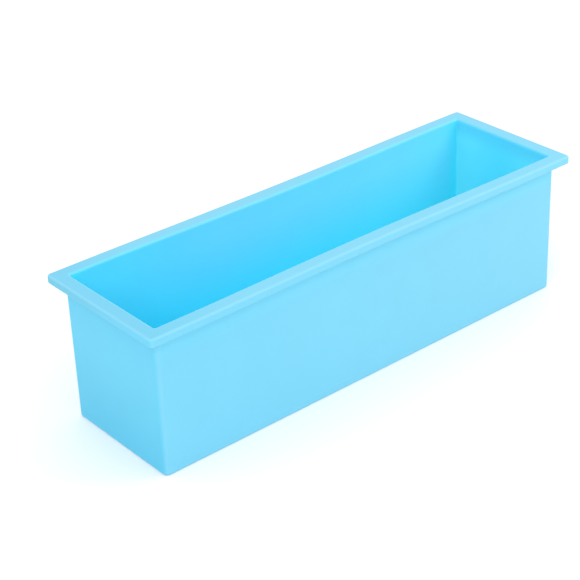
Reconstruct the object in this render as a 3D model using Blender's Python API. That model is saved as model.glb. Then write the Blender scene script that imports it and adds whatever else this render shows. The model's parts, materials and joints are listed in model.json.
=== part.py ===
"""Silicone soap loaf mould: one flexible moulding, divided where it bends.

The real mould is a single thin-walled silicone trough with a flat rim. It works by flexing: its
walls are pulled outwards by the rim to let go of the soap. So the moulding is modelled whole,
as an outer form with a cavity taken out, and is then divided along its bend lines into a floor,
four corners that stay upright, and four walls that each lean about a hinge line at their foot.

Metres, +Z up. X runs along the mould and Y across it. The origin is the centre of the underside.
"""

import math

import bpy
from mathutils import Matrix, Vector

# Driving dimensions
CAVITY_LENGTH = 0.260
CAVITY_WIDTH = 0.0685
HEIGHT = 0.080
WALL = 0.0022
FLOOR = 0.0025
RIM_OVERHANG = 0.0059
RIM_THICKNESS = 0.0046
FRONT_LEAN = 0.0015  # how far the front wall leans in at its rim, halfway along
BACK_LEAN = 0.0022  # the same for the back wall
BACK_RIM_LEAN = 0.0010  # the same for the outer edge of the back wall's rim, which is stiffer
CORNER_LEG = 0.0140  # how far each upright corner reaches along its two walls

# Rounded edges
CAVITY_CORNER_RADIUS = 0.0006
OUTER_CORNER_RADIUS = 0.0026
RIM_CORNER_RADIUS = 0.0020
BOTTOM_EDGE_RADIUS = 0.0012
RIM_FOOT_RADIUS = 0.0008
RIM_TOP_RADIUS = 0.0012
MOUTH_RADIUS = 0.0013
ARC_STEPS = 5
EDGE_STEPS = 3

# Division into nodes
GAP = 0.0003  # left between neighbouring solids
BEND_STEPS = 12  # stretches along a long wall, which follow its lean
FOOT_RADIUS = 0.00135  # a wall's rounded foot, centred on its hinge line
FOOT_STEPS = 8
REACH = 0.020  # how far the dividing solids run past the mould

# Worked out from those above
OUTER_HALF_LENGTH = CAVITY_LENGTH / 2 + WALL
OUTER_HALF_WIDTH = CAVITY_WIDTH / 2 + WALL
RIM_UNDERSIDE = HEIGHT - RIM_THICKNESS
HINGE_HEIGHT = FLOOR + GAP + FOOT_RADIUS
HINGE_X = OUTER_HALF_LENGTH - WALL / 2
HINGE_Y = OUTER_HALF_WIDTH - WALL / 2
LONG_WALL_END = OUTER_HALF_LENGTH - CORNER_LEG
END_WALL_END = OUTER_HALF_WIDTH - CORNER_LEG

SKY_BLUE = (0.16, 0.66, 0.94, 1.0)


def clear_scene():
    for obj in list(bpy.data.objects):
        bpy.data.objects.remove(obj)


def silicone(name):
    """Matte sky-blue silicone rubber."""
    material = bpy.data.materials.new(name + "_silicone")
    material.use_nodes = True
    shader = material.node_tree.nodes["Principled BSDF"]
    shader.inputs["Base Color"].default_value = SKY_BLUE
    shader.inputs["Roughness"].default_value = 0.55
    shader.inputs["Metallic"].default_value = 0.0
    material.diffuse_color = SKY_BLUE
    return material


def add_node(name, mesh, pivot=(0.0, 0.0, 0.0)):
    """A sub-part whose origin is at pivot, from a mesh given in the mould's own frame."""
    mesh.transform(Matrix.Translation(-Vector(pivot)))
    mesh.materials.append(silicone(name))
    mesh.shade_smooth()
    mesh.set_sharp_from_angle(angle=math.radians(30))
    obj = bpy.data.objects.new(name, mesh)
    obj.location = pivot
    bpy.context.scene.collection.objects.link(obj)
    return obj


def add_helper(mesh):
    """A solid that only shapes the nodes, and isn't one itself."""
    obj = bpy.data.objects.new(mesh.name, mesh)
    obj.hide_render = True
    obj.display_type = "WIRE"
    bpy.context.scene.collection.objects.link(obj)
    return obj


def inward_lean(x, z, most):
    """How far a long wall leans in at this place. It is most at the rim, halfway along."""
    along = min(abs(x) / LONG_WALL_END, 1.0)
    up = max(0.0, z - HINGE_HEIGHT) / (HEIGHT - HINGE_HEIGHT)
    return most * up * (1.0 - along * along) ** 2


def rounded_corner(half_length, half_width, radius, quarter):
    """The points of one rounded corner, anticlockwise. Quarter 0 is at +X +Y."""
    side_x = 1 if quarter in (0, 3) else -1
    side_y = 1 if quarter in (0, 1) else -1
    centre_x = side_x * (half_length - radius)
    centre_y = side_y * (half_width - radius)
    for step in range(ARC_STEPS + 1):
        angle = math.radians(90) * (quarter + step / ARC_STEPS)
        yield centre_x + radius * math.cos(angle), centre_y + radius * math.sin(angle)


def plan_loop(half_length, half_width, radius, z, back_lean=BACK_LEAN):
    """One level outline of the mould, anticlockwise, with its long sides leaning in."""
    points = []
    for quarter in range(4):
        points += rounded_corner(half_length, half_width, radius, quarter)
        if quarter in (0, 2):
            side, most = (1, back_lean) if quarter == 0 else (-1, FRONT_LEAN)
            for step in range(BEND_STEPS + 1):
                x = side * LONG_WALL_END * (1.0 - 2.0 * step / BEND_STEPS)
                points.append((x, side * (half_width - inward_lean(x, z, most))))
    return [(x, y, z) for x, y in points]


def loft(name, loops):
    """A closed mesh through level outlines, given from the lowest to the highest."""
    count = len(loops[0])
    points = [point for loop in loops for point in loop]
    faces = [list(reversed(range(count)))]
    for level in range(len(loops) - 1):
        start = level * count
        for i in range(count):
            j = (i + 1) % count
            faces.append([start + i, start + j, start + count + j, start + count + i])
    faces.append([(len(loops) - 1) * count + i for i in range(count)])
    mesh = bpy.data.meshes.new(name)
    mesh.from_pydata(points, [], faces)
    return mesh


def quarter_round(radius):
    """(inset, rise) of points on an edge rounded to this radius, from its foot upwards."""
    for step in range(EDGE_STEPS + 1):
        angle = math.radians(90) * step / EDGE_STEPS
        yield radius * (1.0 - math.sin(angle)), radius * (1.0 - math.cos(angle))


def outer_form():
    """The mould's outside: a box with rounded edges under a flat rim, with no cavity."""
    def body(out, z):
        radius = OUTER_CORNER_RADIUS + out
        return plan_loop(OUTER_HALF_LENGTH + out, OUTER_HALF_WIDTH + out, radius, z)

    def rim(inset, z):
        out = RIM_OVERHANG - inset
        radius = RIM_CORNER_RADIUS - inset
        return plan_loop(OUTER_HALF_LENGTH + out, OUTER_HALF_WIDTH + out, radius, z, BACK_RIM_LEAN)

    loops = [body(-inset, rise) for inset, rise in quarter_round(BOTTOM_EDGE_RADIUS)]
    loops.append(body(0.0, RIM_UNDERSIDE))
    for inset, rise in quarter_round(RIM_FOOT_RADIUS):
        loops.append(rim(inset, RIM_UNDERSIDE + rise))
    for inset, rise in reversed(list(quarter_round(RIM_TOP_RADIUS))):
        loops.append(rim(inset, HEIGHT - rise))
    return loft("outer_form", loops)


def cavity_form():
    """The space that holds the soap, with a rounded mouth. It runs on above the rim."""
    def outline(out, z):
        radius = CAVITY_CORNER_RADIUS + out
        return plan_loop(CAVITY_LENGTH / 2 + out, CAVITY_WIDTH / 2 + out, radius, z)

    loops = [outline(0.0, FLOOR), outline(0.0, HINGE_HEIGHT)]
    for inset, rise in reversed(list(quarter_round(MOUTH_RADIUS))):
        loops.append(outline(inset, HEIGHT - rise))
    loops.append(outline(MOUTH_RADIUS, HEIGHT + REACH))
    return loft("cavity_form", loops)


def box_mesh(name, low, high):
    """A plain box between two corners."""
    corners = [(x, y) for x, y in ((low[0], low[1]), (high[0], low[1]),
                                   (high[0], high[1]), (low[0], high[1]))]
    return loft(name, [[(x, y, z) for x, y in corners] for z in (low[2], high[2])])


def wall_region(name, hinge, half_span):
    """The space that one wall takes: a rounded foot about its hinge line, open above.

    It is made about the line through (0, hinge) along X, and reaches half_span each way.
    """
    outline = []
    for step in range(FOOT_STEPS + 1):
        angle = math.radians(180) * (1.0 + step / FOOT_STEPS)
        outline.append((hinge + FOOT_RADIUS * math.cos(angle),
                        HINGE_HEIGHT + FOOT_RADIUS * math.sin(angle)))
    shoulder = HINGE_HEIGHT + REACH
    inner, outer = hinge - REACH / 4, hinge + REACH
    outline += [(outer, shoulder), (outer, HEIGHT + REACH), (inner, HEIGHT + REACH), (inner, shoulder)]
    ends = [[(x, y, z) for y, z in outline] for x in (-half_span, half_span)]
    return loft(name, ends)


def intersect(obj, helper):
    cut = obj.modifiers.new(helper.name, "BOOLEAN")
    cut.operation = "INTERSECT"
    cut.object = helper


def subtract(obj, helper):
    cut = obj.modifiers.new(helper.name, "BOOLEAN")
    cut.operation = "DIFFERENCE"
    cut.object = helper


def build_floor():
    """The flat floor, with the rounded edge that the mould stands on."""
    floor = add_node("floor", outer_form())
    far = OUTER_HALF_LENGTH + REACH
    intersect(floor, add_helper(box_mesh("floor_region", (-far, -far, -REACH), (far, far, FLOOR))))


def build_corner(name, side_x, side_y, cavity):
    """One upright corner, with the rim's corner on top. It doesn't bend."""
    corner = add_node(name, outer_form())
    subtract(corner, cavity)
    xs = sorted((side_x * (LONG_WALL_END + GAP / 2), side_x * (OUTER_HALF_LENGTH + REACH)))
    ys = sorted((side_y * (END_WALL_END + GAP / 2), side_y * (OUTER_HALF_WIDTH + REACH)))
    low = (xs[0], ys[0], FLOOR + GAP)
    high = (xs[1], ys[1], HEIGHT + REACH)
    intersect(corner, add_helper(box_mesh(name + "_region", low, high)))


def build_wall(name, quarter_turns, hinge, half_span, cavity):
    """One wall with its stretch of rim. Its origin is on the hinge line at its foot.

    A wall with no quarter turns faces +Y, and each turn takes it on anticlockwise.
    """
    turn = Matrix.Rotation(math.radians(90) * quarter_turns, 4, "Z")
    wall = add_node(name, outer_form(), turn @ Vector((0.0, hinge, HINGE_HEIGHT)))
    subtract(wall, cavity)
    region = wall_region(name + "_region", hinge, half_span - GAP / 2)
    region.transform(turn)
    intersect(wall, add_helper(region))


def build_mould():
    clear_scene()
    cavity = add_helper(cavity_form())
    build_floor()
    for end, side_x in (("left", -1), ("right", 1)):
        for face, side_y in (("front", -1), ("back", 1)):
            build_corner(f"{face}_{end}_corner", side_x, side_y, cavity)
    build_wall("back_wall", 0, HINGE_Y, LONG_WALL_END, cavity)
    build_wall("left_end_wall", 1, HINGE_X, END_WALL_END, cavity)
    build_wall("front_wall", 2, HINGE_Y, LONG_WALL_END, cavity)
    build_wall("right_end_wall", 3, HINGE_X, END_WALL_END, cavity)


build_mould()
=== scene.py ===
import json
import math
from functools import partial
from typing import NamedTuple

import bmesh
import bpy
from mathutils import Matrix, Vector
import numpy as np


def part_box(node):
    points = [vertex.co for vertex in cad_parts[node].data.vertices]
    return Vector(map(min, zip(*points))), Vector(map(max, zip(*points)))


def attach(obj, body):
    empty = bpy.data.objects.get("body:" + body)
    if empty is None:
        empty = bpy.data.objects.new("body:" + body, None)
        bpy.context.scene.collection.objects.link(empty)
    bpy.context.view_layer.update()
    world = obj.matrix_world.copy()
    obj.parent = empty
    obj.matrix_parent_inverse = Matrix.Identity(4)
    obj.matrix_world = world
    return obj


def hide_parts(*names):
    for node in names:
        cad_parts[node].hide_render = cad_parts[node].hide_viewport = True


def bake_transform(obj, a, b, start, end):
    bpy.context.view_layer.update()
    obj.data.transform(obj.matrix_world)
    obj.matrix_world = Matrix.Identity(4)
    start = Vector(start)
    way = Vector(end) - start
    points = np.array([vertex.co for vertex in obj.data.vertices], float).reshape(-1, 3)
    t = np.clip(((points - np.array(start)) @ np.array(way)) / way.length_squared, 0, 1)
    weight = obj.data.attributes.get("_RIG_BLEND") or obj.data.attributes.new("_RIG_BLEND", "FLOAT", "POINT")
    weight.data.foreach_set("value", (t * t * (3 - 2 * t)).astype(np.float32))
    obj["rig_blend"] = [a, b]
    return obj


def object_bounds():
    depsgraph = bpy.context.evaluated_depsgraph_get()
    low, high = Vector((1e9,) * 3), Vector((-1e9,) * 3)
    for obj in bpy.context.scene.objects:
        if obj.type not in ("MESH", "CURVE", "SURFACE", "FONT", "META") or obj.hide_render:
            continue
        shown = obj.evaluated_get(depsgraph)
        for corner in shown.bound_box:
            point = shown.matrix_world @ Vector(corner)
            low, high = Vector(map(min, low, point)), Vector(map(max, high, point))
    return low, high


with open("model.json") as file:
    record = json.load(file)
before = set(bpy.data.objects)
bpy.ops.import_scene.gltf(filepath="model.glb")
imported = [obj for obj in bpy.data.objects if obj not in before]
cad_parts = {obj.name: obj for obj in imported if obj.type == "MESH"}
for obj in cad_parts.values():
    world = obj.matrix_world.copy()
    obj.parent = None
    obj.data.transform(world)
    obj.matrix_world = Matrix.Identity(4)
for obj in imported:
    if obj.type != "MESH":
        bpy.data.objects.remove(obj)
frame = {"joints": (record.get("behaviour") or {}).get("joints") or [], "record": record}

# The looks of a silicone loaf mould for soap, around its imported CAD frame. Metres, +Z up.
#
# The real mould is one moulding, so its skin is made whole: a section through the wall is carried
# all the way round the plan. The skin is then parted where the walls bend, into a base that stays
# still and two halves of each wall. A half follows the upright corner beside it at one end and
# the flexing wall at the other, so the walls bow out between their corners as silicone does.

CAD_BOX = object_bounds()
RECORD = frame["record"]


def mount_height(name):
    return next(m["pos_m"][2] for m in RECORD["mounts"] if m["name"] == name)


def hinge_place(name):
    return Vector(next(j["pos_m"] for j in frame["joints"] if j["name"] == name))


# Sizes read from the frame
OUTER_X, OUTER_Y, FLOOR_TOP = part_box("floor")[1]
RIM_X, RIM_Y, RIM_TOP = CAD_BOX[1]
RIM_UNDER = mount_height("rim_underside")
HINGE_Z = hinge_place("back_wall_flex").z
HALF_WALL = OUTER_Y - hinge_place("back_wall_flex").y
WALL = 2 * HALF_WALL
CAVITY_X, CAVITY_Y = OUTER_X - WALL, OUTER_Y - WALL
RIM_OUT = RIM_X - CAVITY_X
SEAM_X = (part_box("back_wall")[1].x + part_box("back_right_corner")[0].x) / 2
SEAM_Y = (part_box("right_end_wall")[1].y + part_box("back_right_corner")[0].y) / 2
BACK_LEAN = CAVITY_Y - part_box("back_wall")[0].y
FRONT_LEAN = CAVITY_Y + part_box("front_wall")[1].y

# The back of the rim is stiffer than the wall under it, and leans in less
RIM_BACK_LEAN = 0.0010

# Rounded edges of the section through a wall
FLOOR_FILLET = 0.0012
MOUTH_ROUND = 0.0014
RIM_TOP_ROUND = 0.0013
RIM_FOOT_ROUND = 0.0008
UNDER_RIM_FILLET = 0.0008
BOTTOM_ROUND = 0.0012

# Rounded corners of the plan
CAVITY_CORNER = 0.0008
RIM_CORNER = 0.0020
OUTER_CORNER = 0.0026
LEAST_CORNER = 0.0002

# Fineness of the mesh
ROUND_STEPS = 6
CORNER_STEPS = 8
FOOT_STEPS = 12
ROW_STEP = 0.005
COLUMN_STEP = 0.004
HOLD = 0.0003  # a flat stretch keeps a row this close to each end, so that it shades flat
FLOOR_INSET = 0.004  # the floor's flat middle starts this far inside the cavity's walls
SHARP_ANGLE = 35.0  # degrees; a sharper edge between two faces doesn't shade smoothly

# Camera, in degrees and metres, looking at a point about halfway up the mould
CAMERA_AZIMUTH = -39.012
CAMERA_ELEVATION = 29.314
CAMERA_ROLL = -2.407
CAMERA_DISTANCE = 0.85167
CAMERA_ASIDE = (-0.017898, -0.007019)
CAMERA_AIM = (0.0, 0.0, 0.0426)
CAMERA_LENS = 102.653
CAMERA_SENSOR = 36.0

# Colours, linear, most of them with painted light and shade in them. A pair is for the left and the right of
# the mould, the left one deeper, as painted shade.
# Painted shade on the level faces: a deeper blue that takes back the stronger light on the rim top, deeper
# still to the left
RIM_TOP_PAINTED_SHADE_BLUES = (0.120, 0.52, 0.73, 1.0), (0.153, 0.55, 0.75, 1.0)
# Painted shade on the long sides, growing towards the left as light falls off
LONG_SIDE_PAINTED_FALLOFF_BLUES = (0.144, 0.553, 0.76, 1.0), (0.163, 0.55, 0.735, 1.0)
# Painted light under the rim, lifting the shade that the rim casts on the wall
UNDER_RIM_PAINTED_LIGHT_BLUE = (0.155, 0.645, 0.85, 1.0)
# Painted shade on the ends: a deeper blue than the long sides, darker towards the foot and where the rim
# nears the back
END_BLUE = (0.085, 0.54, 0.77, 1.0)
END_FOOT_PAINTED_SHADE_BLUE = (0.050, 0.49, 0.725, 1.0)
END_RIM_PAINTED_SHADE_BLUE = (0.092, 0.475, 0.66, 1.0)  # painted shade, where the rim at an end nears the back
# Painted light high on the cavity's long walls, deeper to the left
CAVITY_PAINTED_LIGHT_BLUES = (0.165, 0.69, 0.94, 1.0), (0.19, 0.77, 0.97, 1.0)
# Painted shade towards the cavity's foot, deeper to the left
CAVITY_PAINTED_SHADE_BLUES = (0.012, 0.785, 1.0, 1.0), (0.050, 0.86, 0.99, 1.0)
CAVITY_FLOOR_BLUE = (0.025, 0.82, 0.99, 1.0)
# The cavity's ends: painted light growing from the middle of an end towards its corners
CAVITY_END_BLUE = (0.105, 0.78, 0.97, 1.0)
CAVITY_CORNER_PAINTED_LIGHT_BLUE = (0.18, 0.86, 0.99, 1.0)
# Painted shade in the cavity's upright corners
CREASE_PAINTED_SHADE_BLUE = (0.03, 0.86, 1.0, 1.0)
# Painted shade just under the cavity's mouth
MOUTH_PAINTED_SHADE_BLUE = (0.09, 0.66, 0.92, 1.0)
# Painted highlight on the crests of rounded edges and upright corners
EDGE_HIGHLIGHT_BLUE = (0.285, 0.61, 0.80, 1.0)
FLOOR_WHITE = (0.96, 0.96, 0.96, 1.0)

# Where the painted light and shade in the colours change. A pair of heights or distances is where a smooth
# change starts and ends.
END_PALES_BY = 0.055  # the height at which an end's painted shade, darker towards its foot, has faded out
UNDER_RIM_PAINTED_LIGHT_FROM = 0.060  # the height from which the outside is painted paler, lifting the shade under the rim
RIM_LEFT = 0.055  # how far from the left end the rim top's deeper painted shade reaches along the rim
CAVITY_PALES = (0.008, 0.072)  # the heights between which painted light grows on the cavity's long walls
CAVITY_PALEST = 0.03  # where along them the painted light is strongest
CAVITY_FADES = (0.050, 0.160)  # the distances from there between which the painted light fades
CAVITY_FADES_TO = 0.5  # the share of it that is left
CAVITY_CORNERS = (0.0, 0.034)  # from the middle of an end out to its corners, where the painted light grows
CREASE_REACH = 0.010  # how far the painted shade in an upright corner of the cavity reaches
CREASE_SHARE = 0.6  # the share of the painted shade blue that it has
MOUTH = (0.067, 0.078)  # the heights between which painted shade grows under the cavity's mouth
MOUTH_SHARES = (0.25, 0.8)  # the share of that painted shade blue, on the long walls and at the ends
UPRIGHT_CREST_HIGHLIGHT = 0.6  # the strength of the painted highlight on an upright corner's crest, next to the rim's edges
EDGE_HIGHLIGHT_SHARE = 0.5  # the share of the painted highlight blue that the crests of the rounded edges have

# Texture. A size is that of the features, and a bump is its strength and its height.
MOTTLE_SIZE = 0.020
MOTTLE = 0.03  # how far it lightens and darkens the colour
GRAIN_SIZE = 0.0006
SPECKLE = 0.012  # how far the grain does
RIPPLE_SIZE = 0.022
RIPPLE_BUMP = (0.3, 0.0004)
GRAIN_BUMP = (0.25, 0.00003)
ROUGHNESS = (0.62, 0.40)  # of the frosted outside and of the smooth cavity
GRAIN_ROUGHENS = 0.05
SHEEN = 0.25
SHEEN_ROUGHNESS = 0.5

# Stage
STAGE_SIZE = 12.0
STAGE_ROUGHNESS = 0.9
DOME_LOW = 0.82
DOME_GAIN = 0.30
DOME_TOP = (0.0, -0.2, 1.0)  # where the dome is brightest
DOME_GAINS_FROM = -0.3  # the cosine of the angle to there at which it starts to brighten
KEY = ((-0.90, -0.60, 0.85), 0.5, 3.8)  # place, size and power
FILL = ((0.32, -0.32, 0.36), 0.2, 0.48)


# ---------------------------------------------------------------- section and plan

class Row(NamedTuple):
    """One point of the section through a wall, which is carried all the way round the plan."""
    out: float  # how far it lies outside the cavity's wall
    z: float
    plan: float  # the radius of the plan's corners at this row
    inside: float  # 1 on the cavity's own surface, which is smooth and has a deeper, brighter blue that partly paints the glow of light through the walls, and 0 on the frosted outside
    edge: float  # 1 on the crest of a rounded edge, where a highlight is painted
    upright: float  # 1 where the surface faces sideways


class Corner(NamedTuple):
    """A corner of the section, before it is rounded."""
    out: float
    z: float
    radius: float
    plan: float
    inside: float
    edge: float


def run_between(start, end):
    """The rows of a straight stretch, without its two ends."""
    length = math.dist(start[:2], end[:2])
    if length < 3 * HOLD:
        return []
    steps = max(1, math.ceil((length - 2 * HOLD) / ROW_STEP))
    places = [HOLD + (length - 2 * HOLD) * k / steps for k in range(steps + 1)]
    return [Row(*(a + (b - a) * p / length for a, b in zip(start, end))) for p in places]


def rounding(before, corner, after):
    """The rows of the quarter round at one corner, or the corner itself."""
    if corner.radius == 0:
        return [Row(corner.out, corner.z, corner.plan, corner.inside, 0.0, 1.0)]
    arrive = (Vector(corner[:2]) - Vector(before[:2])).normalized()
    leave = (Vector(after[:2]) - Vector(corner[:2])).normalized()
    centre = Vector(corner[:2]) + corner.radius * (leave - arrive)
    rows = []
    for step in range(ROUND_STEPS + 1):
        share = step / ROUND_STEPS
        angle = math.radians(90) * share
        spoke = math.sin(angle) * arrive - math.cos(angle) * leave
        point = centre + corner.radius * spoke
        plan = max(LEAST_CORNER, corner.plan + point.x - corner.out)
        inside = corner.inside + (after.inside - corner.inside) * share
        # The painted highlight's weight, strongest in the middle of the round
        edge = corner.edge * math.sin(2 * angle)
        rows.append(Row(point.x, point.y, plan, inside, edge, abs(spoke.x)))
    return rows


def wall_section():
    """The section's rows, from the floor's inside, over the rim, to the underside.

    The numbers of the two rows at the hinge line's height come with them.
    """
    corners = [
        Corner(-FLOOR_INSET, FLOOR_TOP, 0, LEAST_CORNER, 1, 0),
        Corner(0, FLOOR_TOP, FLOOR_FILLET, CAVITY_CORNER, 1, 0),
        Corner(0, HINGE_Z, 0, CAVITY_CORNER, 1, 0),
        Corner(0, RIM_TOP, MOUTH_ROUND, CAVITY_CORNER, 1, 0.5),
        Corner(RIM_OUT, RIM_TOP, RIM_TOP_ROUND, RIM_CORNER, 0, 1),
        Corner(RIM_OUT, RIM_UNDER, RIM_FOOT_ROUND, RIM_CORNER, 0, 0.5),
        Corner(WALL, RIM_UNDER, UNDER_RIM_FILLET, OUTER_CORNER, 0, 0),
        Corner(WALL, HINGE_Z, 0, OUTER_CORNER, 0, 0),
        Corner(WALL, 0, BOTTOM_ROUND, OUTER_CORNER, 0, 0.5),
        Corner(-FLOOR_INSET, 0, 0, LEAST_CORNER, 0, 0),
    ]
    first, last = corners[0], corners[-1]
    rows = [Row(first.out, first.z, first.plan, first.inside, 0.0, 0.0)]
    hinge_rows = []
    for before, corner, after in zip(corners, corners[1:], corners[2:]):
        points = rounding(before, corner, after)
        rows += run_between(rows[-1], points[0])
        if corner.z == HINGE_Z:
            hinge_rows.append(len(rows))
        rows += points
    end = Row(last.out, last.z, last.plan, last.inside, 0.0, 0.0)
    rows += run_between(rows[-1], end) + [end]
    return rows, hinge_rows


def half_wall_places(seam):
    """How far along a wall its columns stand, from one corner's seam to its middle."""
    steps = max(2, math.ceil((seam - 2 * HOLD) / COLUMN_STEP))
    inner = [-seam + HOLD + (seam - 2 * HOLD) * k / steps for k in range(steps + 1)]
    return [-seam] + inner + [0.0]


class Side:
    """One side of the plan. It faces outward along normal and runs on anticlockwise."""

    def __init__(self, quarter, wall, hinge):
        turn = Matrix.Rotation(math.radians(90) * quarter, 3, "Z")
        self.normal = turn @ Vector((0, 1, 0))
        self.along = turn @ Vector((-1, 0, 0))
        self.wall = wall
        self.joint = next(j for j in frame["joints"] if j["name"] == hinge)
        self.is_end = quarter % 2 == 1
        self.half_run, self.depth = (CAVITY_Y, CAVITY_X) if self.is_end else (CAVITY_X, CAVITY_Y)
        self.seam = SEAM_Y if self.is_end else SEAM_X
        self.lean = {0: BACK_LEAN, 2: FRONT_LEAN}.get(quarter, 0.0)
        self.rim_lean = RIM_BACK_LEAN if quarter == 0 else self.lean

    def point(self, row, place):
        """The point of a section row at this place along the side."""
        share = min(abs(place) / self.seam, 1.0)
        up = max(0.0, row.z - HINGE_Z) / (RIM_TOP - HINGE_Z)
        out = min(max((row.out - WALL) / (RIM_OUT - WALL), 0.0), 1.0)
        lean = (self.lean + (self.rim_lean - self.lean) * out) * up * (1.0 - share * share) ** 2
        point = self.normal * (self.depth + row.out - lean) + self.along * place
        return Vector((point.x, point.y, row.z))

    def beside_corner(self, row, end):
        """The point of a section row that is a hold's width along from a rounded corner."""
        return self.point(row, end * (self.half_run + row.out - row.plan - HOLD))


SIDES = [
    Side(0, "back_wall", "back_wall_flex"),
    Side(1, "left_end_wall", "left_end_wall_flex"),
    Side(2, "front_wall", "front_wall_flex"),
    Side(3, "right_end_wall", "right_end_wall_flex"),
]


def corner_point(row, side, share):
    """A point of a section row on the rounded corner before this side."""
    before = SIDES[SIDES.index(side) - 1]
    inset = row.out - row.plan
    centre = before.normal * (before.depth + inset) + side.normal * (side.depth + inset)
    angle = math.radians(90) * share
    point = centre + row.plan * (before.normal * math.cos(angle) + side.normal * math.sin(angle))
    return Vector((point.x, point.y, row.z))


class Column(NamedTuple):
    """One place round the plan."""
    point: object  # gives the point of a row there
    side: object  # the side whose wall it is on, seams included, or None on a corner
    end: float  # 1 on the mould's two ends and 0 on its long sides
    crest: float = 0.0  # 1 on the crest of an upright corner, where a highlight is painted


def plan_columns():
    """The columns all the way round the plan, anticlockwise from the back right corner."""
    columns = []
    for side in SIDES:
        for step in range(CORNER_STEPS + 1):
            share = step / CORNER_STEPS
            point = partial(corner_point, side=side, share=share)
            end = share if side.is_end else 1.0 - share
            # The painted highlight on an upright corner's crest peaks nearer its long side
            crest = math.sin(math.pi * (1.0 - end) ** 2)
            columns.append(Column(point, None, end, crest))
        columns.append(Column(partial(side.beside_corner, end=-1), None, float(side.is_end)))
        half = half_wall_places(side.seam)
        for place in half + [-p for p in reversed(half[:-1])]:
            columns.append(Column(partial(side.point, place=place), side, float(side.is_end)))
        columns.append(Column(partial(side.beside_corner, end=1), None, float(side.is_end)))
    return columns


# ---------------------------------------------------------------- pieces

def start_mesh():
    """An empty mesh whose points keep their place at rest and their part of the surface."""
    bm = bmesh.new()
    bm.verts.layers.float_vector.new("rest")
    for name in ("inside", "edge", "end", "upright"):
        bm.verts.layers.float.new(name)
    return bm


def add_vertex(bm, row, column):
    vertex = bm.verts.new(column.point(row))
    vertex[bm.verts.layers.float_vector["rest"]] = vertex.co
    vertex[bm.verts.layers.float["inside"]] = row.inside
    # The painted highlight on the crest of an upright corner
    crest = UPRIGHT_CREST_HIGHLIGHT * column.crest * row.upright * (1.0 - row.inside)
    vertex[bm.verts.layers.float["edge"]] = max(row.edge, crest)
    vertex[bm.verts.layers.float["end"]] = column.end
    vertex[bm.verts.layers.float["upright"]] = row.upright
    return vertex


def finish_mesh(name, bm, material):
    """Turns a finished bmesh into a piece that shades smoothly over its rounded edges."""
    bmesh.ops.recalc_face_normals(bm, faces=bm.faces)
    mesh = bpy.data.meshes.new(name)
    bm.to_mesh(mesh)
    bm.free()
    mesh.shade_smooth()
    mesh.set_sharp_from_angle(angle=math.radians(SHARP_ANGLE))
    mesh.materials.append(material)
    obj = bpy.data.objects.new(name, mesh)
    bpy.context.scene.collection.objects.link(obj)
    return obj


def make_base(rows, hinge_rows, columns, material):
    """The floor, the corners and the strip below each hinge line, in one piece."""
    inside, outside = hinge_rows
    bm = start_mesh()
    grid = [[add_vertex(bm, row, column) for column in columns] for row in rows]
    for j, column in enumerate(columns):
        k = (j + 1) % len(columns)
        following = columns[k]
        on_wall = column.side is not None and column.side is following.side
        for i in range(len(rows) - 1):
            if not (on_wall and inside <= i < outside):
                bm.faces.new((grid[i][j], grid[i + 1][j], grid[i + 1][k], grid[i][k]))
        if on_wall:
            bm.faces.new((grid[inside][j], grid[outside][j], grid[outside][k], grid[inside][k]))
        elif column.side is not following.side:
            seam = j if column.side else k
            bm.faces.new([grid[i][seam] for i in range(inside, outside + 1)])
    bm.faces.new(grid[0])
    bm.faces.new(grid[-1])
    bmesh.ops.delete(bm, geom=[v for v in bm.verts if not v.link_faces], context="VERTS")
    return finish_mesh("mould_base", bm, material)


def foot_rows():
    """The wall's rounded foot about its hinge line, from its outside to its inside."""
    rows = []
    for step in range(1, FOOT_STEPS):
        share = step / FOOT_STEPS
        out = HALF_WALL * (1.0 + math.cos(math.pi * share))
        z = HINGE_Z - HALF_WALL * math.sin(math.pi * share)
        rows.append(Row(out, z, 0.0, share, 0.0, 1.0))
    return rows


def make_half_wall(name, rows, hinge_rows, side, towards, material):
    """Half of one wall, from the seam at this end (-1 or 1) of its side to its middle."""
    ring = rows[hinge_rows[0]:hinge_rows[1] + 1] + foot_rows()
    places = [-towards * place for place in half_wall_places(side.seam)]
    end = float(side.is_end)
    columns = [Column(partial(side.point, place=place), side, end) for place in places]
    bm = start_mesh()
    grid = [[add_vertex(bm, row, column) for row in ring] for column in columns]
    for near, far in zip(grid, grid[1:]):
        for i in range(len(ring)):
            k = (i + 1) % len(ring)
            bm.faces.new((near[i], near[k], far[k], far[i]))
    bm.faces.new(grid[0])
    bm.faces.new(grid[-1])
    return finish_mesh(name, bm, material)


# ---------------------------------------------------------------- materials

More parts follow.
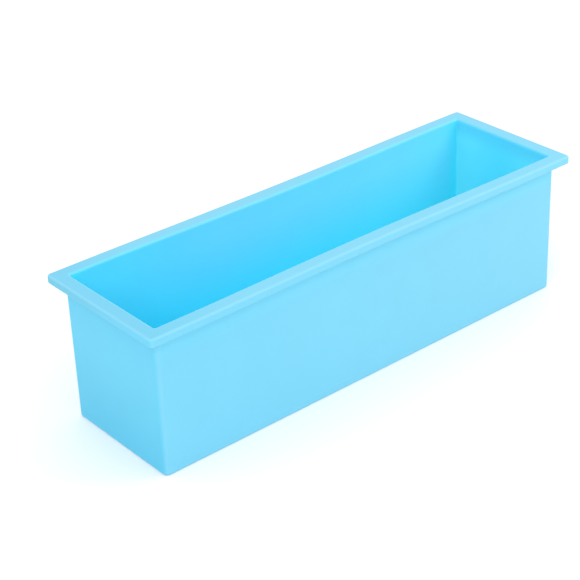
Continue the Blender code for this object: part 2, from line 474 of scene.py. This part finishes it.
class Nodes:
    """Builds one material's nodes. A number, a colour or another node's output feeds an input."""

    def __init__(self, name):
        self.material = bpy.data.materials.new(name)
        self.material.use_nodes = True
        self.tree = self.material.node_tree
        self.shader = self.tree.nodes["Principled BSDF"]

    def feed(self, socket, value):
        if isinstance(value, bpy.types.NodeSocket):
            self.tree.links.new(value, socket)
        else:
            socket.default_value = value

    def add(self, kind, output=0, settings=None, **inputs):
        node = self.tree.nodes.new(kind)
        for name, value in (settings or {}).items():
            setattr(node, name, value)
        for name, value in inputs.items():
            self.feed(node.inputs[name.replace("_", " ")], value)
        return node.outputs[output]

    def attribute(self, name, output):
        return self.add("ShaderNodeAttribute", output, {"attribute_name": name})

    def noise(self, vector, size, detail, roughness=0.5):
        """Noise from 0 to 1 whose features are about this size, in metres."""
        return self.add("ShaderNodeTexNoise", "Fac", Vector=vector, Scale=1.0 / size,
                        Detail=detail, Roughness=roughness)

    def spread(self, value, low, high):
        """Takes a value that runs from 0 to 1 to the range from low to high."""
        return self.add("ShaderNodeMapRange", Value=value, To_Min=low, To_Max=high)

    def rise(self, value, start, end, low=0.0, high=1.0):
        """Goes smoothly from low to high as the value goes from start to end."""
        return self.add("ShaderNodeMapRange", settings={"interpolation_type": "SMOOTHSTEP"},
                        Value=value, From_Min=start, From_Max=end, To_Min=low, To_Max=high)

    def math(self, operation, a, b=0.0):
        node = self.tree.nodes.new("ShaderNodeMath")
        node.operation = operation
        self.feed(node.inputs[0], a)
        self.feed(node.inputs[1], b)
        return node.outputs[0]

    def mix(self, share, a, b, blend_type="MIX"):
        node = self.tree.nodes.new("ShaderNodeMix")
        node.data_type = "RGBA"
        node.blend_type = blend_type
        self.feed(node.inputs["Factor"], share)
        self.feed(node.inputs[6], a)
        self.feed(node.inputs[7], b)
        return node.outputs[2]

    def bump(self, height, strength, distance, normal=None):
        node = self.tree.nodes.new("ShaderNodeBump")
        node.inputs["Strength"].default_value = strength
        node.inputs["Distance"].default_value = distance
        self.feed(node.inputs["Height"], height)
        if normal is not None:
            self.feed(node.inputs["Normal"], normal)
        return node.outputs["Normal"]


def outside_colour(nodes, place, end, upright):
    """The outside of the walls and the rim. Painted shade makes the ends deeper, more so at their foot and
    where their rim nears the back, and makes the rim top and the left deeper. Painted light makes it paler
    under the rim.
    """
    along, across, height = place
    on_rim = nodes.rise(height, RIM_UNDER, RIM_UNDER + RIM_FOOT_ROUND)
    below_rim = nodes.rise(height, RIM_UNDER, RIM_UNDER + RIM_FOOT_ROUND, 1.0, 0.0)
    # Painted light under the rim, lifting the shade that the rim casts there
    under_rim_painted_light = nodes.math("MULTIPLY", nodes.rise(height, UNDER_RIM_PAINTED_LIGHT_FROM, RIM_UNDER), below_rim)
    # The long side's painted light falloff, deeper to the left
    long_side = nodes.mix(nodes.rise(along, -OUTER_X, OUTER_X), *LONG_SIDE_PAINTED_FALLOFF_BLUES)
    long_side = nodes.mix(under_rim_painted_light, long_side, UNDER_RIM_PAINTED_LIGHT_BLUE)
    rim_back = nodes.math("MULTIPLY", on_rim, nodes.rise(across, -RIM_Y, RIM_Y))
    # Painted shade on an end: darker towards its foot and, on its rim, towards the back
    end_side = nodes.mix(nodes.rise(height, 0.0, END_PALES_BY), END_FOOT_PAINTED_SHADE_BLUE, END_BLUE)
    end_side = nodes.mix(rim_back, end_side, END_RIM_PAINTED_SHADE_BLUE)
    # The rim top's painted shade, deeper to the left
    rim_top = nodes.mix(nodes.rise(along, -RIM_X, RIM_LEFT - RIM_X), *RIM_TOP_PAINTED_SHADE_BLUES)
    return nodes.mix(upright, rim_top, nodes.mix(end, long_side, end_side))


def cavity_colour(nodes, place, end, upright):
    """The inside, with painted shade deeper towards its foot, in its upright creases, under its mouth and on
    its left, and painted light high on the long walls and towards the ends' corners.
    """
    along, across, height = place
    right = nodes.rise(along, -OUTER_X, OUTER_X)
    # Painted light high on the long walls, strongest near CAVITY_PALEST along them
    from_palest = nodes.math("ABSOLUTE", nodes.math("SUBTRACT", along, CAVITY_PALEST))
    pale = nodes.math("MULTIPLY", nodes.rise(height, *CAVITY_PALES),
                      nodes.rise(from_palest, *CAVITY_FADES, 1.0, CAVITY_FADES_TO))
    long_wall = nodes.mix(pale, nodes.mix(right, *CAVITY_PAINTED_SHADE_BLUES), nodes.mix(right, *CAVITY_PAINTED_LIGHT_BLUES))
    # Painted shade in the creases of the cavity's upright corners
    from_corner = nodes.math("SUBTRACT", CAVITY_X, nodes.math("ABSOLUTE", along))
    crease_shade = nodes.rise(from_corner, CREASE_REACH, 0.0, 0.0, CREASE_SHARE)
    long_wall = nodes.mix(crease_shade, long_wall, CREASE_PAINTED_SHADE_BLUE)
    # Painted light on the ends, growing towards their corners
    to_corners = nodes.rise(nodes.math("ABSOLUTE", across), *CAVITY_CORNERS)
    end_wall = nodes.mix(to_corners, CAVITY_END_BLUE, CAVITY_CORNER_PAINTED_LIGHT_BLUE)
    # Painted shade just under the mouth
    mouth_shade = nodes.math("MULTIPLY", nodes.rise(height, *MOUTH), nodes.spread(end, *MOUTH_SHARES))
    walls = nodes.mix(mouth_shade, nodes.mix(end, long_wall, end_wall), MOUTH_PAINTED_SHADE_BLUE)
    return nodes.mix(upright, CAVITY_FLOOR_BLUE, walls)


def silicone():
    """Sky-blue silicone: frosted and paler outside, smooth and deeper in the cavity, whose brighter blue
    partly paints the glow of light through the walls.
    """
    nodes = Nodes("silicone")
    rest = nodes.attribute("rest", "Vector")
    inside = nodes.attribute("inside", "Fac")
    edge = nodes.attribute("edge", "Fac")
    upright = nodes.attribute("upright", "Fac")
    end = nodes.math("MULTIPLY", nodes.attribute("end", "Fac"), upright)
    place = [nodes.add("ShaderNodeSeparateXYZ", axis, Vector=rest) for axis in "XYZ"]
    mottle = nodes.noise(rest, MOTTLE_SIZE, detail=4.0, roughness=0.7)
    grain = nodes.noise(rest, GRAIN_SIZE, detail=2.0)
    ripple = nodes.noise(rest, RIPPLE_SIZE, detail=1.0)

    outside, cavity = (make(nodes, place, end, upright) for make in (outside_colour, cavity_colour))
    # The cavity's brighter blue is partly painted glow of light through the walls
    colour = nodes.mix(inside, outside, cavity)
    # Painted highlights on the crests of rounded edges and upright corners
    colour = nodes.mix(nodes.spread(edge, 0.0, EDGE_HIGHLIGHT_SHARE), colour, EDGE_HIGHLIGHT_BLUE)
    shade = nodes.math("ADD", nodes.spread(mottle, 1 - MOTTLE, 1 + MOTTLE),
                       nodes.spread(grain, -SPECKLE, SPECKLE))
    colour = nodes.mix(1.0, colour, shade, "MULTIPLY")
    nodes.feed(nodes.shader.inputs["Base Color"], colour)

    roughness = nodes.math("ADD", nodes.spread(inside, *ROUGHNESS),
                           nodes.spread(grain, -GRAIN_ROUGHENS, GRAIN_ROUGHENS))
    nodes.feed(nodes.shader.inputs["Roughness"], roughness)
    nodes.feed(nodes.shader.inputs["Sheen Weight"], SHEEN)
    nodes.feed(nodes.shader.inputs["Sheen Roughness"], SHEEN_ROUGHNESS)
    bump = nodes.bump(ripple, *RIPPLE_BUMP)
    bump = nodes.bump(grain, *GRAIN_BUMP, bump)
    nodes.feed(nodes.shader.inputs["Normal"], bump)
    return nodes.material


def pale_floor():
    nodes = Nodes("pale_floor")
    nodes.feed(nodes.shader.inputs["Base Color"], FLOOR_WHITE)
    nodes.feed(nodes.shader.inputs["Roughness"], STAGE_ROUGHNESS)
    return nodes.material


# ---------------------------------------------------------------- stage

def make_floor():
    bpy.ops.mesh.primitive_plane_add(size=STAGE_SIZE)
    floor = bpy.context.object
    floor.name = "studio_floor"
    floor.data.materials.append(pale_floor())


def make_world():
    """A white dome, a little brighter on one side of its top."""
    world = bpy.data.worlds.new("studio")
    world.use_nodes = True
    tree = world.node_tree
    place = tree.nodes.new("ShaderNodeTexCoord").outputs["Generated"]
    towards = tree.nodes.new("ShaderNodeVectorMath")
    towards.operation = "DOT_PRODUCT"
    towards.inputs[1].default_value = Vector(DOME_TOP).normalized()
    tree.links.new(place, towards.inputs[0])
    strength = tree.nodes.new("ShaderNodeMapRange")
    strength.interpolation_type = "SMOOTHSTEP"
    strength.inputs["From Min"].default_value = DOME_GAINS_FROM
    strength.inputs["From Max"].default_value = 1.0
    strength.inputs["To Min"].default_value = DOME_LOW
    strength.inputs["To Max"].default_value = DOME_LOW + DOME_GAIN
    tree.links.new(towards.outputs["Value"], strength.inputs["Value"])
    tree.links.new(strength.outputs["Result"], tree.nodes["Background"].inputs["Strength"])
    tree.nodes["Background"].inputs["Color"].default_value = (1.0, 1.0, 1.0, 1.0)
    bpy.context.scene.world = world


def make_light(name, place, size, power):
    """A soft box that faces the middle of the mould."""
    data = bpy.data.lights.new(name, "AREA")
    data.shape = "SQUARE"
    data.size = size
    data.energy = power
    light = bpy.data.objects.new(name, data)
    light.location = place
    light.rotation_euler = (Vector(CAMERA_AIM) - Vector(place)).to_track_quat("-Z", "Y").to_euler()
    bpy.context.scene.collection.objects.link(light)


def make_camera():
    azimuth, elevation = math.radians(CAMERA_AZIMUTH), math.radians(CAMERA_ELEVATION)
    level = math.cos(elevation)
    back = Vector((math.sin(azimuth) * level, -math.cos(azimuth) * level, math.sin(elevation)))
    right = Vector((math.cos(azimuth), math.sin(azimuth), 0.0))
    up = back.cross(right)
    roll = Matrix.Rotation(math.radians(CAMERA_ROLL), 3, "Z")
    turn = Matrix((right, up, back)).transposed() @ roll
    aside = turn @ Vector((CAMERA_ASIDE[0], CAMERA_ASIDE[1], CAMERA_DISTANCE))
    data = bpy.data.cameras.new("camera")
    data.lens = CAMERA_LENS
    data.sensor_width = CAMERA_SENSOR
    camera = bpy.data.objects.new("camera", data)
    camera.matrix_world = Matrix.Translation(Vector(CAMERA_AIM) + aside) @ turn.to_4x4()
    bpy.context.scene.collection.objects.link(camera)
    bpy.context.scene.camera = camera


# ---------------------------------------------------------------- the mould

def make_mould():
    material = silicone()
    rows, hinge_rows = wall_section()
    columns = plan_columns()
    base = make_base(rows, hinge_rows, columns, material)
    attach(base, "base")
    corners = [node for node in RECORD["behaviour"]["bodies"]["base"] if node.endswith("corner")]
    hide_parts("floor", *corners)
    for side in SIDES:
        for towards, word in ((-1, "first"), (1, "second")):
            name = f"{side.wall}_{word}_half"
            half = make_half_wall(name, rows, hinge_rows, side, towards, material)
            foot = Vector((0, 0, HINGE_Z)) + side.normal * (side.depth + HALF_WALL)
            start = foot + side.along * side.seam * towards
            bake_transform(half, "base", side.joint["child"], start=start, end=foot)
            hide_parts(side.wall)


bpy.context.scene.view_settings.view_transform = "Standard"
make_camera()
make_world()
make_light("key", *KEY)
make_light("fill", *FILL)
make_floor()
make_mould()
